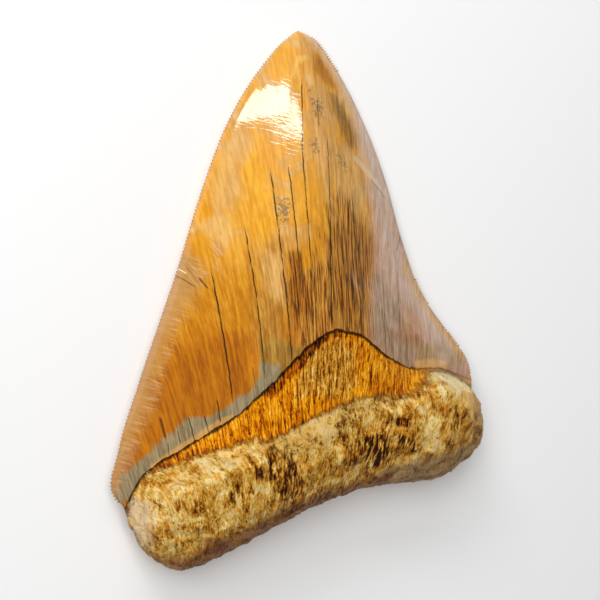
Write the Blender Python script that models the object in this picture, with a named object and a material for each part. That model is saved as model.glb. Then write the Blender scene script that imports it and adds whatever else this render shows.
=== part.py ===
"""A fossil megalodon tooth, lying on its flatter (labial) face with the domed (lingual) face up.

The tooth is one solid, drawn in millimetres: X runs from the left heel of the crown to the right
heel, Y from the root to the tip, and Z up from the surface that the tooth lies on. Each of its two
faces is a grid, and the grid's rows run from the root's base to the tip through four bands: the
root, the collar of bare dentine (on the lingual face this is the bourlette), the lip of the enamel,
and the crown. The two faces meet all round in one rim, which is the saw edge on the crown and the
round side on the root. The finished solid has its origin under the middle of its bounding box.
"""

import bmesh
import bpy
import numpy as np
from mathutils import Vector, noise

MM = 0.001

# The rim, as (x, y, z). Each cutting edge runs from the end of the enamel at the heel to the tip.
TIP = (88.5, 107.0, 4.2)
LEFT_CUTTING_EDGE = (
    (2.9, -3.5, 6.6),
    (1.0, 1.4, 6.2),
    (5.6, 10.7, 5.7),
    (17.3, 27.8, 5.0),
    (34.5, 51.0, 4.4),
    (50.1, 73.6, 4.2),
    (61.4, 87.7, 4.0),
    (74.0, 98.9, 4.0),
    (84.8, 105.6, 4.1),
    TIP,
)
RIGHT_CUTTING_EDGE = (
    (111.4, -1.3, 6.6),
    (111.9, 3.4, 6.2),
    (108.6, 13.1, 5.7),
    (103.9, 26.2, 5.0),
    (102.2, 43.0, 4.8),
    (102.3, 60.0, 4.3),
    (100.6, 77.0, 4.1),
    (96.2, 95.0, 4.0),
    (91.8, 104.4, 4.1),
    TIP,
)
LEFT_ROOT_SIDE = ((5.9, -18.6, 9.0), (3.5, -13.6, 9.0), (2.8, -8.6, 8.6), (2.8, -5.1, 7.4))
RIGHT_ROOT_SIDE = ((104.6, -19.8, 9.0), (107.6, -15.2, 9.0), (108.9, -8.8, 8.6), (110.4, -3.1, 7.4))
ROOT_BASE = (
    LEFT_ROOT_SIDE[0],
    (10.8, -22.6, 9.0),
    (23.5, -23.0, 9.0),
    (37.5, -21.0, 9.0),
    (53.5, -19.2, 9.0),
    (68.5, -19.2, 9.0),
    (81.5, -22.2, 9.0),
    (93.5, -23.9, 9.0),
    RIGHT_ROOT_SIDE[0],
)

# Where the root and the enamel end, as (x, y) from the left rim to the right rim.
LEFT_HEEL, RIGHT_HEEL = LEFT_CUTTING_EDGE[0][:2], RIGHT_CUTTING_EDGE[0][:2]
LEFT_NECK, RIGHT_NECK = LEFT_ROOT_SIDE[-1][:2], RIGHT_ROOT_SIDE[-1][:2]
ROOT_LINES = {
    "lingual": (
        LEFT_NECK, (8.0, 2.4), (20.0, 4.6), (36.0, 5.2), (54.0, 6.0), (68.0, 7.0),
        (80.0, 5.4), (92.0, 6.6), (103.0, 3.4), RIGHT_NECK,
    ),
    "labial": (LEFT_NECK, (10.0, -1.4), (30.0, 4.0), (57.0, 7.0), (84.0, 4.6), (101.0, 0.0), RIGHT_NECK),
}
ENAMEL_LINES = {
    "lingual": (
        LEFT_HEEL, (9.3, 3.2), (23.0, 8.0), (36.0, 12.2), (48.0, 18.6), (60.0, 25.2),
        (66.0, 26.4), (73.0, 23.4), (80.5, 15.2), (88.0, 9.6), (100.0, 5.6), RIGHT_HEEL,
    ),
    "labial": (LEFT_HEEL, (10.0, 1.0), (30.0, 7.4), (57.0, 11.0), (84.0, 8.0), (101.0, 2.6), RIGHT_HEEL),
}
LIP_WIDTH = 0.7
LIP_HEIGHT = 0.7

# Heights along the middle of each face, as (share of the way up the band, z).
CROWN_HEIGHTS = {
    "lingual": ((0.0, 25.6), (0.2, 23.2), (0.45, 18.6), (0.7, 12.6), (0.88, 7.8), (1.0, TIP[2])),
    "labial": ((0.0, 2.6), (0.2, 1.3), (0.45, 0.1), (0.65, -0.2), (0.85, 0.7), (1.0, TIP[2])),
}
ROOT_HEIGHTS = {"lingual": 29.0, "labial": 2.0}
BLADE_FULLNESS = ((0.0, 1.55), (0.3, 1.3), (0.6, 1.05), (1.0, 0.9))
RIDGE_SHIFT = 0.12
PLATE_FLATNESS = 3.4
ROOT_END_DROP = 7.0
ROOT_LOBE_DEPTH = 2.6
ROOT_END_ROUNDING = 13.0
ROOT_BASE_ROUNDING = {"lingual": 19.0, "labial": 11.0}
ROOT_RELIEF = 1.2
NECK_REACH = {"lingual": 4.5, "labial": 12.0}

# The grid of each face. Its rows crowd towards the root's base, and its columns towards the rim.
COLUMNS = 40
ROOT_ROWS, COLLAR_ROWS, LIP_ROWS, CROWN_ROWS = 12, 4, 1, 28
ROWS = ROOT_ROWS + COLLAR_ROWS + LIP_ROWS + CROWN_ROWS
RIM_CROWDING = 1.4
BASE_CROWDING = 1.6

SERRATIONS_PER_ROW = 4
SERRATION_DEPTH = 0.4
WORN_TIP = 8.0
LUMP_SIZE = 7.0
LUMP_HEIGHT = 0.55

# Hollows in the lingual side of the root, as (x, y, radius, depth).
HOLLOWS = ((39.1, -2.2, 4.5, 0.8), (64.4, -10.3, 5.0, 0.7), (76.6, -2.0, 3.5, 0.6), (20.5, -9.0, 4.0, 0.5))

BONE_COLOUR = (0.48, 0.30, 0.12, 1.0)


def smooth(knots, values, at):
    """Values read off a smooth curve that passes through the given ones."""
    knots, values, at = (np.asarray(item, float) for item in (knots, values, at))
    slopes = np.gradient(values, knots, axis=0)
    piece = np.clip(np.searchsorted(knots, at, side="right") - 1, 0, len(knots) - 2)
    width = knots[piece + 1] - knots[piece]
    t = (at - knots[piece]) / width
    if values.ndim == 2:
        width, t = width[..., None], t[..., None]
    return (
        (2 * t**3 - 3 * t**2 + 1) * values[piece]
        + (t**3 - 2 * t**2 + t) * width * slopes[piece]
        + (3 * t**2 - 2 * t**3) * values[piece + 1]
        + (t**3 - t**2) * width * slopes[piece + 1]
    )


def along(points, share):
    """The points at shares, from 0 to 1, of the way along a smooth curve or a straight line."""
    points = np.array(points, float)
    if len(points) == 2:
        return points[0] + (points[1] - points[0]) * np.asarray(share, float)[:, None]
    lengths = np.cumsum(np.linalg.norm(np.diff(points, axis=0), axis=1))
    return smooth(np.concatenate([[0.0], lengths]) / lengths[-1], points, share)


def plan(points, share):
    return along([point[:2] for point in points], share)


def ease(value):
    value = np.clip(value, 0.0, 1.0)
    return value * value * (3 - 2 * value)


def patch(low, high, left, right, across, up):
    """A sheet filled in between four curves, at shares across it and up it."""
    s, t = across[:, None], up[:, None]
    first, last = plan(low, (0.0, 1.0)), plan(high, (0.0, 1.0))
    corners = (1 - t) * ((1 - s) * first[0] + s * first[1]) + t * ((1 - s) * last[0] + s * last[1])
    sides = (1 - s) * plan(left, up) + s * plan(right, up)
    return (1 - t) * plan(low, across) + t * plan(high, across) + sides - corners


def rim_height(left, right, across, up):
    return along(left, up)[:, 2] * (1 - across) + along(right, up)[:, 2] * across


def bulge(face, across, up):
    """How far each face has swollen from the rim, 0, to the middle of the face, 1."""
    off_middle = 2 * across - 1
    if face == "labial":
        return 1 - np.abs(off_middle) ** PLATE_FLATNESS
    off_ridge = off_middle - RIDGE_SHIFT * (1 - off_middle**2)
    return np.clip(1 - off_ridge**2, 0.0, 1.0) ** smooth(*zip(*BLADE_FULLNESS), up)


def crown_height(face, across, up):
    edge = rim_height(LEFT_CUTTING_EDGE, RIGHT_CUTTING_EDGE, across, up)
    return edge + (smooth(*zip(*CROWN_HEIGHTS[face]), up) - edge) * bulge(face, across, up)


def distance(xy, points):
    """How far each point of the plan is from a curve."""
    line = plan(points, np.linspace(0.0, 1.0, 240))
    return np.linalg.norm(xy[:, None] - line, axis=2).min(axis=1)


def root_height(face, across, up, xy):
    """The root is thin at the neck, where the crown sits in it, and full below that."""
    off_middle = np.abs(2 * across - 1)
    edge = rim_height(LEFT_ROOT_SIDE, RIGHT_ROOT_SIDE, across, up)
    from_end = np.minimum(distance(xy, LEFT_ROOT_SIDE), distance(xy, RIGHT_ROOT_SIDE)) / ROOT_END_ROUNDING
    from_base = distance(xy, ROOT_BASE) / ROOT_BASE_ROUNDING[face]
    inward = np.minimum(np.minimum(from_end, from_base), 1.0)
    inward[(off_middle == 1.0) | (up == 0.0)] = 0.0
    rounding = np.sqrt(1 - (1 - inward) ** 2)
    below_neck = distance(xy, ROOT_LINES[face])
    full = np.full_like(across, ROOT_HEIGHTS[face])
    if face == "lingual":
        full -= ROOT_END_DROP * off_middle**2.5
        full += ROOT_RELIEF * ease(below_neck / 2.0) * (1 - ease(below_neck / 9.0))
    else:
        full -= ROOT_LOBE_DEPTH * np.sin(np.pi * off_middle**0.8) ** 2
    neck = (CROWN_HEIGHTS[face][0][1] - edge) * bulge(face, across, np.zeros_like(up))
    swell = ease(below_neck / NECK_REACH[face])
    return edge + neck * (1 - swell) + rounding * (full - edge) * swell


def face_points(face, across, row):
    """The points of one face at shares across it and at rows up it."""
    outward = 1.0 if face == "lingual" else -1.0
    root_line, enamel_line = ROOT_LINES[face], ENAMEL_LINES[face]
    step = np.sqrt(np.sin(np.pi * across))
    points = np.zeros((len(across), 3))

    root = row <= ROOT_ROWS
    s, t = across[root], (row[root] / ROOT_ROWS) ** BASE_CROWDING
    xy = patch(ROOT_BASE, root_line, LEFT_ROOT_SIDE, RIGHT_ROOT_SIDE, s, t)
    z = root_height(face, s, t, xy) - outward * LIP_HEIGHT * step[root] * ease(t)
    points[root] = np.column_stack([xy, z])

    collar = (row > ROOT_ROWS) & (row <= ROOT_ROWS + COLLAR_ROWS)
    s, t = across[collar], (row[collar] - ROOT_ROWS) / COLLAR_ROWS
    xy = patch(root_line, enamel_line, (LEFT_NECK, LEFT_HEEL), (RIGHT_NECK, RIGHT_HEEL), s, t)
    foot = root_height(face, s, np.ones_like(t), plan(root_line, s))
    head = crown_height(face, s, np.zeros_like(t))
    points[collar] = np.column_stack([xy, foot + (head - foot) * t - outward * LIP_HEIGHT * step[collar]])

    crown = row > ROOT_ROWS + COLLAR_ROWS
    s, t = across[crown], (row[crown] - ROOT_ROWS - COLLAR_ROWS - LIP_ROWS) / CROWN_ROWS
    xy = patch(enamel_line, (TIP, TIP), LEFT_CUTTING_EDGE, RIGHT_CUTTING_EDGE, s, t)
    xy[:, 1] += LIP_WIDTH * step[crown] * (1 - t)
    points[crown] = np.column_stack([xy, crown_height(face, s, t)])
    return points


def add_face(bm, face):
    """A grid shaped to one face. Its bone is marked, and its crown is marked 1 or 2."""
    bone, crown = bm.verts.layers.float["bone"], bm.faces.layers.int["crown"]
    verts = bmesh.ops.create_grid(bm, x_segments=COLUMNS, y_segments=ROWS, size=0.5)["verts"]
    polys = {poly for vert in verts for poly in vert.link_faces}
    for poly in polys:
        if (poly.calc_center_median().y + 0.5) * ROWS > ROOT_ROWS + COLLAR_ROWS:
            poly[crown] = 1 if face == "lingual" else 2
    flat = np.array([vert.co[:2] for vert in verts])
    row = np.round((flat[:, 1] + 0.5) * ROWS)
    side = np.round(np.abs(2 * flat[:, 0]), 5)
    across = 0.5 + 0.5 * np.sign(flat[:, 0]) * (1 - (1 - side) ** RIM_CROWDING)
    for vert, point, depth in zip(verts, face_points(face, across, row), ROOT_ROWS - row):
        vert.co = point
        vert[bone] = float(ease(depth / 2.0))
    if face == "labial":
        bmesh.ops.reverse_faces(bm, faces=list(polys))


def roughen_bone(bm):
    bone = bm.verts.layers.float["bone"]
    bm.normal_update()
    for vert in bm.verts:
        lump = noise.fractal(Vector((vert.co.x, 0.6 * vert.co.y, vert.co.z)) / LUMP_SIZE, 0.8, 2.0, 3)
        height = LUMP_HEIGHT * lump
        if vert.normal.z > 0:
            for x, y, radius, depth in HOLLOWS:
                height -= depth * ease(1 - (vert.co.xy - Vector((x, y))).length / radius)
        vert.co += vert.normal * height * vert[bone]


def cutting_edges(bm):
    """The edges where the crown's two faces meet, short of the tip, which is worn smooth."""
    crown = bm.faces.layers.int["crown"]
    return [
        edge for edge in bm.edges
        if sum(poly[crown] for poly in edge.link_faces) == 3 and all(len(poly.verts) > 3 for poly in edge.link_faces)
    ]


def cut_serrations(bm):
    """Points stand out of both cutting edges at even steps."""
    strips = set(cutting_edges(bm))
    for edge in list(strips):
        for poly in edge.link_faces:
            strips.update(other for other in poly.edges if not set(other.verts) & set(edge.verts))
    bmesh.ops.subdivide_edges(bm, edges=list(strips), cuts=SERRATIONS_PER_ROW - 1)
    bm.normal_update()
    for edge in cutting_edges(bm):
        ends, polys = set(edge.verts), list(edge.link_faces)
        outward = polys[0].normal + polys[1].normal
        outward.z = 0.0
        point = bmesh.utils.edge_split(edge, edge.verts[0], 0.5)[1]
        for poly in polys:
            inner = [vert for vert in poly.verts if vert not in ends and vert is not point]
            bmesh.utils.face_split(poly, point, inner[0])
        point.co += outward.normalized() * SERRATION_DEPTH * ease((point.co - Vector(TIP)).length / WORN_TIP)


def build_tooth():
    bm = bmesh.new()
    bm.verts.layers.float.new("bone")
    bm.faces.layers.int.new("crown")
    add_face(bm, "lingual")
    add_face(bm, "labial")
    bmesh.ops.remove_doubles(bm, verts=bm.verts, dist=0.0001)
    roughen_bone(bm)
    for vert in bm.verts:
        vert.co.z = max(vert.co.z, 0.0)
    cut_serrations(bm)
    bmesh.ops.triangulate(bm, faces=bm.faces)
    corners = np.array([vert.co for vert in bm.verts])
    middle = (corners.min(axis=0) + corners.max(axis=0)) / 2
    bmesh.ops.translate(bm, verts=bm.verts, vec=(-middle[0], -middle[1], 0.0))
    bmesh.ops.scale(bm, verts=bm.verts, vec=(MM, MM, MM))
    mesh = bpy.data.meshes.new("tooth")
    bm.to_mesh(mesh)
    bm.free()
    for poly in mesh.polygons:
        poly.use_smooth = True
    tooth = bpy.data.objects.new("tooth", mesh)
    bpy.context.scene.collection.objects.link(tooth)
    return tooth


def paint(tooth):
    material = bpy.data.materials.new("fossil")
    material.use_nodes = True
    shader = material.node_tree.nodes["Principled BSDF"]
    shader.inputs["Base Color"].default_value = BONE_COLOUR
    shader.inputs["Roughness"].default_value = 0.35
    shader.inputs["Metallic"].default_value = 0.0
    tooth.data.materials.append(material)


for old in list(bpy.data.objects):
    bpy.data.objects.remove(old)
paint(build_tooth())
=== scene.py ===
"""The looks of a fossil megalodon tooth, which lies on its flatter (labial) face.

The tooth is modelled as one closed skin of two grids, one for each face. Its drawing is in
millimetres, the same as the solid's: X runs from the left heel of the crown to the right heel, Y
from the root to the tip, and Z up from the surface that the tooth lies on.
"""

import bpy
import numpy as np
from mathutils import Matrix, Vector, noise


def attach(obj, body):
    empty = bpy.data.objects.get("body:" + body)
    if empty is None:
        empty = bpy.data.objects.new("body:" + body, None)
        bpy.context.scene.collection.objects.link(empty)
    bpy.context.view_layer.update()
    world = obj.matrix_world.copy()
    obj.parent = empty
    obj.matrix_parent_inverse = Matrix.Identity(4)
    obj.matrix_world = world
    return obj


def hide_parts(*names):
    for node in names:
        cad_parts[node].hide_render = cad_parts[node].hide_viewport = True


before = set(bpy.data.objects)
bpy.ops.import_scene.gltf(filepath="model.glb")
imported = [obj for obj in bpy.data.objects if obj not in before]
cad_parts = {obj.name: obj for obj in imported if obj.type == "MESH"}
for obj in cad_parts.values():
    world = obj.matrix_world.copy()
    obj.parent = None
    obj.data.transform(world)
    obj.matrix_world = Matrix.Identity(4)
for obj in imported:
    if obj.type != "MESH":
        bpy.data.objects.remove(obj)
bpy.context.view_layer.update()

MM = 0.001

# ---------------------------------------------------------------- the tooth's drawing

TIP = (88.5, 107.0, 4.2)
LEFT_CUTTING_EDGE = (
    (2.9, -3.5, 6.6), (1.0, 1.4, 6.2), (5.6, 10.7, 5.7), (17.3, 27.8, 5.0), (34.5, 51.0, 4.4),
    (50.1, 73.6, 4.2), (61.4, 87.7, 4.0), (74.0, 98.9, 4.0), (84.8, 105.6, 4.1), TIP,
)
RIGHT_CUTTING_EDGE = (
    (111.4, -1.3, 6.6), (111.9, 3.4, 6.2), (108.6, 13.1, 5.7), (103.9, 26.2, 5.0), (102.2, 43.0, 4.8),
    (102.3, 60.0, 4.3), (100.6, 77.0, 4.1), (96.2, 95.0, 4.0), (91.8, 104.4, 4.1), TIP,
)
LEFT_ROOT_SIDE = ((5.9, -18.6, 9.0), (3.5, -13.6, 9.0), (2.8, -8.6, 8.6), (2.8, -5.1, 7.4))
RIGHT_ROOT_SIDE = ((104.6, -19.8, 9.0), (107.6, -15.2, 9.0), (108.9, -8.8, 8.6), (110.4, -3.1, 7.4))
ROOT_BASE = (
    LEFT_ROOT_SIDE[0], (10.8, -22.6, 9.0), (23.5, -23.0, 9.0), (37.5, -21.0, 9.0), (53.5, -19.2, 9.0),
    (68.5, -19.2, 9.0), (81.5, -22.2, 9.0), (93.5, -23.9, 9.0), RIGHT_ROOT_SIDE[0],
)
LEFT_HEEL, RIGHT_HEEL = LEFT_CUTTING_EDGE[0][:2], RIGHT_CUTTING_EDGE[0][:2]
LEFT_NECK, RIGHT_NECK = LEFT_ROOT_SIDE[-1][:2], RIGHT_ROOT_SIDE[-1][:2]
ROOT_LINES = {
    "lingual": (
        LEFT_NECK, (8.0, 2.4), (20.0, 4.6), (36.0, 5.2), (54.0, 6.0), (68.0, 7.0),
        (80.0, 5.4), (92.0, 6.6), (103.0, 3.4), RIGHT_NECK,
    ),
    "labial": (LEFT_NECK, (10.0, -1.4), (30.0, 4.0), (57.0, 7.0), (84.0, 4.6), (101.0, 0.0), RIGHT_NECK),
}
ENAMEL_LINES = {
    "lingual": (
        LEFT_HEEL, (9.3, 3.2), (23.0, 8.0), (36.0, 12.2), (48.0, 18.6), (60.0, 25.2),
        (66.0, 26.4), (73.0, 23.4), (80.5, 15.2), (88.0, 9.6), (100.0, 5.6), RIGHT_HEEL,
    ),
    "labial": (LEFT_HEEL, (10.0, 1.0), (30.0, 7.4), (57.0, 11.0), (84.0, 8.0), (101.0, 2.6), RIGHT_HEEL),
}
LIP_WIDTH = 0.7
LIP_HEIGHT = 0.7

CROWN_HEIGHTS = {
    "lingual": ((0.0, 25.6), (0.2, 23.2), (0.45, 18.6), (0.7, 12.6), (0.88, 7.8), (1.0, TIP[2])),
    "labial": ((0.0, 2.6), (0.2, 1.3), (0.45, 0.1), (0.65, -0.2), (0.85, 0.7), (1.0, TIP[2])),
}
ROOT_HEIGHTS = {"lingual": 29.0, "labial": 2.0}
BLADE_FULLNESS = ((0.0, 1.55), (0.3, 1.3), (0.6, 1.12), (1.0, 1.08))
RIDGE_SHIFT = 0.12
PLATE_FLATNESS = 3.4
ROOT_END_DROP = 7.0
ROOT_LOBE_DEPTH = 2.6
ROOT_END_ROUNDING = 13.0
ROOT_BASE_ROUNDING = {"lingual": 19.0, "labial": 11.0}
ROOT_RELIEF = 0.5
NECK_REACH = {"lingual": 5.5, "labial": 12.0}
HOLLOWS = ((39.1, -2.2, 4.5, 0.8), (64.4, -10.3, 5.0, 0.7), (76.6, -2.0, 3.5, 0.6), (20.5, -9.0, 4.0, 0.5))

COLUMNS = 228
ROOT_ROWS, COLLAR_ROWS, LIP_ROWS, CROWN_ROWS = 72, 38, 3, 74
LIP_FOOT = ROOT_ROWS + COLLAR_ROWS
CROWN_FOOT = LIP_FOOT + LIP_ROWS
ROWS = CROWN_FOOT + CROWN_ROWS
RIM_CROWDING = 1.25
BASE_CROWDING = 1.35

SERRATION_DEPTH = 0.95
SERRATIONS_PER_ROW = 2
SERRATION_MARKS = 2 * SERRATIONS_PER_ROW
SERRATION_HOLLOW = 0.7
WORN_TIP = 8.0
LUMP_SIZE = 5.5
LUMP_HEIGHT = 0.7
BONE_GRAIN = 0.3
PIT_DEPTH = 0.35
COLLAR_RIBS = 0.2
ENAMEL_RIPPLE = 0.08
ENAMEL_STREAK = 0.006
MIDDLE = (56.521, 41.475)
LINGUAL_SHEET, LABIAL_SHEET = 1, 2
OFF_THE_FACE = -60.0
RAGGED_ROOT = 1.1
RAGGED_ENAMEL = 0.5
ENAMEL_SHADE = 0.9
ENAMEL_HAIRS = 0.00002
ON_BOTH_FACES = ("left flank", "amber rim", "tan cloud", "gold wedge", "pale centre")

# The enamel's fibres all run through this far point of the drawing, below the root.
FIBRE_FOCUS = (10.6, -149.6)
FIBRE_SCALE = 180.0


def smooth(knots, values, at):
    """Values read off a smooth curve that passes through the given ones."""
    knots, values, at = (np.asarray(item, float) for item in (knots, values, at))
    slopes = np.gradient(values, knots, axis=0)
    piece = np.clip(np.searchsorted(knots, at, side="right") - 1, 0, len(knots) - 2)
    width = knots[piece + 1] - knots[piece]
    t = (at - knots[piece]) / width
    if values.ndim == 2:
        width, t = width[..., None], t[..., None]
    return (
        (2 * t**3 - 3 * t**2 + 1) * values[piece]
        + (t**3 - 2 * t**2 + t) * width * slopes[piece]
        + (3 * t**2 - 2 * t**3) * values[piece + 1]
        + (t**3 - t**2) * width * slopes[piece + 1]
    )


def along(points, share):
    """The points at shares, from 0 to 1, of the way along a smooth curve or a straight line."""
    points = np.array(points, float)
    if len(points) == 2:
        return points[0] + (points[1] - points[0]) * np.asarray(share, float)[:, None]
    lengths = np.cumsum(np.linalg.norm(np.diff(points, axis=0), axis=1))
    return smooth(np.concatenate([[0.0], lengths]) / lengths[-1], points, share)


def plan(points, share):
    return along([point[:2] for point in points], share)


def ease(value):
    value = np.clip(value, 0.0, 1.0)
    return value * value * (3 - 2 * value)


def patch(low, high, left, right, across, up):
    """A sheet filled in between four curves, at shares across it and up it."""
    s, t = across[:, None], up[:, None]
    first, last = plan(low, (0.0, 1.0)), plan(high, (0.0, 1.0))
    corners = (1 - t) * ((1 - s) * first[0] + s * first[1]) + t * ((1 - s) * last[0] + s * last[1])
    sides = (1 - s) * plan(left, up) + s * plan(right, up)
    return (1 - t) * plan(low, across) + t * plan(high, across) + sides - corners


def rim_height(left, right, across, up):
    return along(left, up)[:, 2] * (1 - across) + along(right, up)[:, 2] * across


def bulge(face, across, up):
    """How far each face has swollen from the rim, 0, to the middle of the face, 1."""
    off_middle = 2 * across - 1
    if face == "labial":
        return 1 - np.abs(off_middle) ** PLATE_FLATNESS
    off_ridge = off_middle - RIDGE_SHIFT * (1 - off_middle**2)
    return np.clip(1 - off_ridge**2, 0.0, 1.0) ** smooth(*zip(*BLADE_FULLNESS), up)


def crown_height(face, across, up):
    edge = rim_height(LEFT_CUTTING_EDGE, RIGHT_CUTTING_EDGE, across, up)
    return edge + (smooth(*zip(*CROWN_HEIGHTS[face]), up) - edge) * bulge(face, across, up)


def distance(xy, points, samples=240):
    """How far each point of the plan is from a curve."""
    line = plan(points, np.linspace(0.0, 1.0, samples))
    nearest = np.full(len(xy), np.inf)
    for spot in line:
        nearest = np.minimum(nearest, (xy[:, 0] - spot[0]) ** 2 + (xy[:, 1] - spot[1]) ** 2)
    return np.sqrt(nearest)


def root_height(face, across, up, xy):
    """The root is thin at the neck, where the crown sits in it, and full below that."""
    off_middle = np.abs(2 * across - 1)
    edge = rim_height(LEFT_ROOT_SIDE, RIGHT_ROOT_SIDE, across, up)
    from_end = np.minimum(distance(xy, LEFT_ROOT_SIDE), distance(xy, RIGHT_ROOT_SIDE)) / ROOT_END_ROUNDING
    from_base = distance(xy, ROOT_BASE, 600) / ROOT_BASE_ROUNDING[face]
    inward = np.minimum(np.minimum(from_end, from_base), 1.0)
    inward[(off_middle == 1.0) | (up == 0.0)] = 0.0
    rounding = np.sqrt(1 - (1 - inward) ** 2)
    below_neck = distance(xy, ROOT_LINES[face], 600)
    full = np.full_like(across, ROOT_HEIGHTS[face])
    if face == "lingual":
        full -= ROOT_END_DROP * off_middle**2.5
        full += ROOT_RELIEF * ease(below_neck / 2.0) * (1 - ease(below_neck / 9.0))
    else:
        full -= ROOT_LOBE_DEPTH * np.sin(np.pi * off_middle**0.8) ** 2
    neck = (CROWN_HEIGHTS[face][0][1] - edge) * bulge(face, across, np.zeros_like(up))
    swell = ease(below_neck / NECK_REACH[face])
    return edge + neck * (1 - swell) + rounding * (full - edge) * swell


def face_points(face, across, row):
    """The points of one face at shares across it and at rows up it."""
    outward = 1.0 if face == "lingual" else -1.0
    root_line, enamel_line = ROOT_LINES[face], ENAMEL_LINES[face]
    step = np.sqrt(np.clip(np.sin(np.pi * across), 0.0, 1.0))
    points = np.zeros((len(across), 3))

    root = row <= ROOT_ROWS
    s, t = across[root], (row[root] / ROOT_ROWS) ** BASE_CROWDING
    xy = patch(ROOT_BASE, root_line, LEFT_ROOT_SIDE, RIGHT_ROOT_SIDE, s, t)
    z = root_height(face, s, t, xy) - outward * LIP_HEIGHT * step[root] * ease(t)
    points[root] = np.column_stack([xy, z])

    collar = (row > ROOT_ROWS) & (row <= LIP_FOOT)
    s, t = across[collar], (row[collar] - ROOT_ROWS) / COLLAR_ROWS
    xy = patch(root_line, enamel_line, (LEFT_NECK, LEFT_HEEL), (RIGHT_NECK, RIGHT_HEEL), s, t)
    foot = root_height(face, s, np.ones_like(t), plan(root_line, s))
    head = crown_height(face, s, np.zeros_like(t))
    points[collar] = np.column_stack([xy, foot + (head - foot) * t - outward * LIP_HEIGHT * step[collar]])

    crown = row > LIP_FOOT
    above_lip = (row[crown] - CROWN_FOOT) / CROWN_ROWS
    s, t = across[crown], np.maximum(above_lip, 0.0)
    lip = np.clip(1 + above_lip * CROWN_ROWS / LIP_ROWS, 0.0, 1.0)
    xy = patch(enamel_line, (TIP, TIP), LEFT_CUTTING_EDGE, RIGHT_CUTTING_EDGE, s, t)
    xy[:, 1] += LIP_WIDTH * (1 - np.cos(lip * np.pi / 2)) * step[crown] * (1 - t)
    z = crown_height(face, s, t) - outward * LIP_HEIGHT * (1 - np.sin(lip * np.pi / 2)) * step[crown]
    points[crown] = np.column_stack([xy, z])
    return points


def fringe(across, seed):
    """How the edge of the enamel or of the root wanders, about -1 to 1, along its length."""
    return np.array([noise.fractal(Vector((share * 34.0, seed, 0.0)), 0.55, 2.0, 5) for share in across])


def keep(mesh, name, values):
    """Values kept on the mesh, one for each of its points, for later steps and for the finishes."""
    kind, slot = ("FLOAT", "value") if values.ndim == 1 else ("FLOAT_VECTOR", "vector")
    layer = mesh.attributes.get(name) or mesh.attributes.new(name, kind, "POINT")
    layer.data.foreach_set(slot, np.ascontiguousarray(values, dtype=np.float32).ravel())


def kept(mesh, name):
    values = np.empty(len(mesh.vertices), dtype=np.float32)
    mesh.attributes[name].data.foreach_get("value", values)
    return values


def points_of(mesh):
    values = np.empty(len(mesh.vertices) * 3, dtype=np.float32)
    mesh.vertices.foreach_get("co", values)
    return values.reshape(-1, 3).astype(float)


def normals_of(mesh):
    values = np.empty(len(mesh.vertices) * 3, dtype=np.float32)
    mesh.vertex_normals.foreach_get("vector", values)
    return values.reshape(-1, 3).astype(float)


def move_points(mesh, points):
    mesh.vertices.foreach_set("co", points.astype(np.float32).ravel())
    mesh.update()


def add_sheet(face):
    """A grid shaped to one face of the tooth, with bone below its enamel line and enamel above."""
    bpy.ops.mesh.primitive_grid_add(x_subdivisions=COLUMNS, y_subdivisions=ROWS, size=1.0)
    sheet = bpy.context.object
    mesh = sheet.data
    flat = points_of(mesh)
    row = np.round((flat[:, 1] + 0.5) * ROWS)
    side = np.round(np.abs(2 * flat[:, 0]), 5)
    across = 0.5 + 0.5 * np.sign(flat[:, 0]) * (1 - (1 - side) ** RIM_CROWDING)
    points = face_points(face, across, row)
    for line_row, seed, depth in (
        (ROOT_ROWS, 3.0, RAGGED_ROOT), (LIP_FOOT + LIP_ROWS / 2, 8.0, RAGGED_ENAMEL),
    ):
        near = np.clip(1 - np.abs(row - line_row) / 8.0, 0.0, 1.0) * ease(6 * across * (1 - across))
        points[:, 1] += near * depth * fringe(across, seed + (20.0 if face == "labial" else 0.0))
    move_points(mesh, points)
    keep(mesh, "row", row)
    keep(mesh, "lingual", np.full(len(row), 1.0 if face == "lingual" else 0.0))
    mesh.materials.append(bpy.data.materials["root bone"])
    mesh.materials.append(bpy.data.materials["polished enamel"])
    corners = np.empty(len(mesh.loops), dtype=np.int32)
    mesh.loops.foreach_get("vertex_index", corners)
    enamel = row[corners].reshape(-1, 4).mean(axis=1) > LIP_FOOT
    mesh.polygons.foreach_set("material_index", enamel.astype(np.int32))
    mark = LINGUAL_SHEET if face == "lingual" else LABIAL_SHEET
    marks = mesh.attributes.new("sheet", "INT", "FACE")
    marks.data.foreach_set("value", np.full(len(mesh.polygons), mark))
    return sheet


def grain(points, scale, octaves=3, roughness=1.0, seed=0.0):
    """Soft lumps, about -1 to 1, with their own scale along each axis."""
    spots = points * np.array(scale) + seed
    return np.array([noise.fractal(Vector(spot), roughness, 2.0, octaves) for spot in spots.tolist()])


def fibre_lines(points):
    """Each point's place across the fibres and along them."""
    across = (points[:, 0] - FIBRE_FOCUS[0]) / (points[:, 1] - FIBRE_FOCUS[1]) * FIBRE_SCALE
    return np.column_stack([across, points[:, 1], points[:, 2]])


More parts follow.
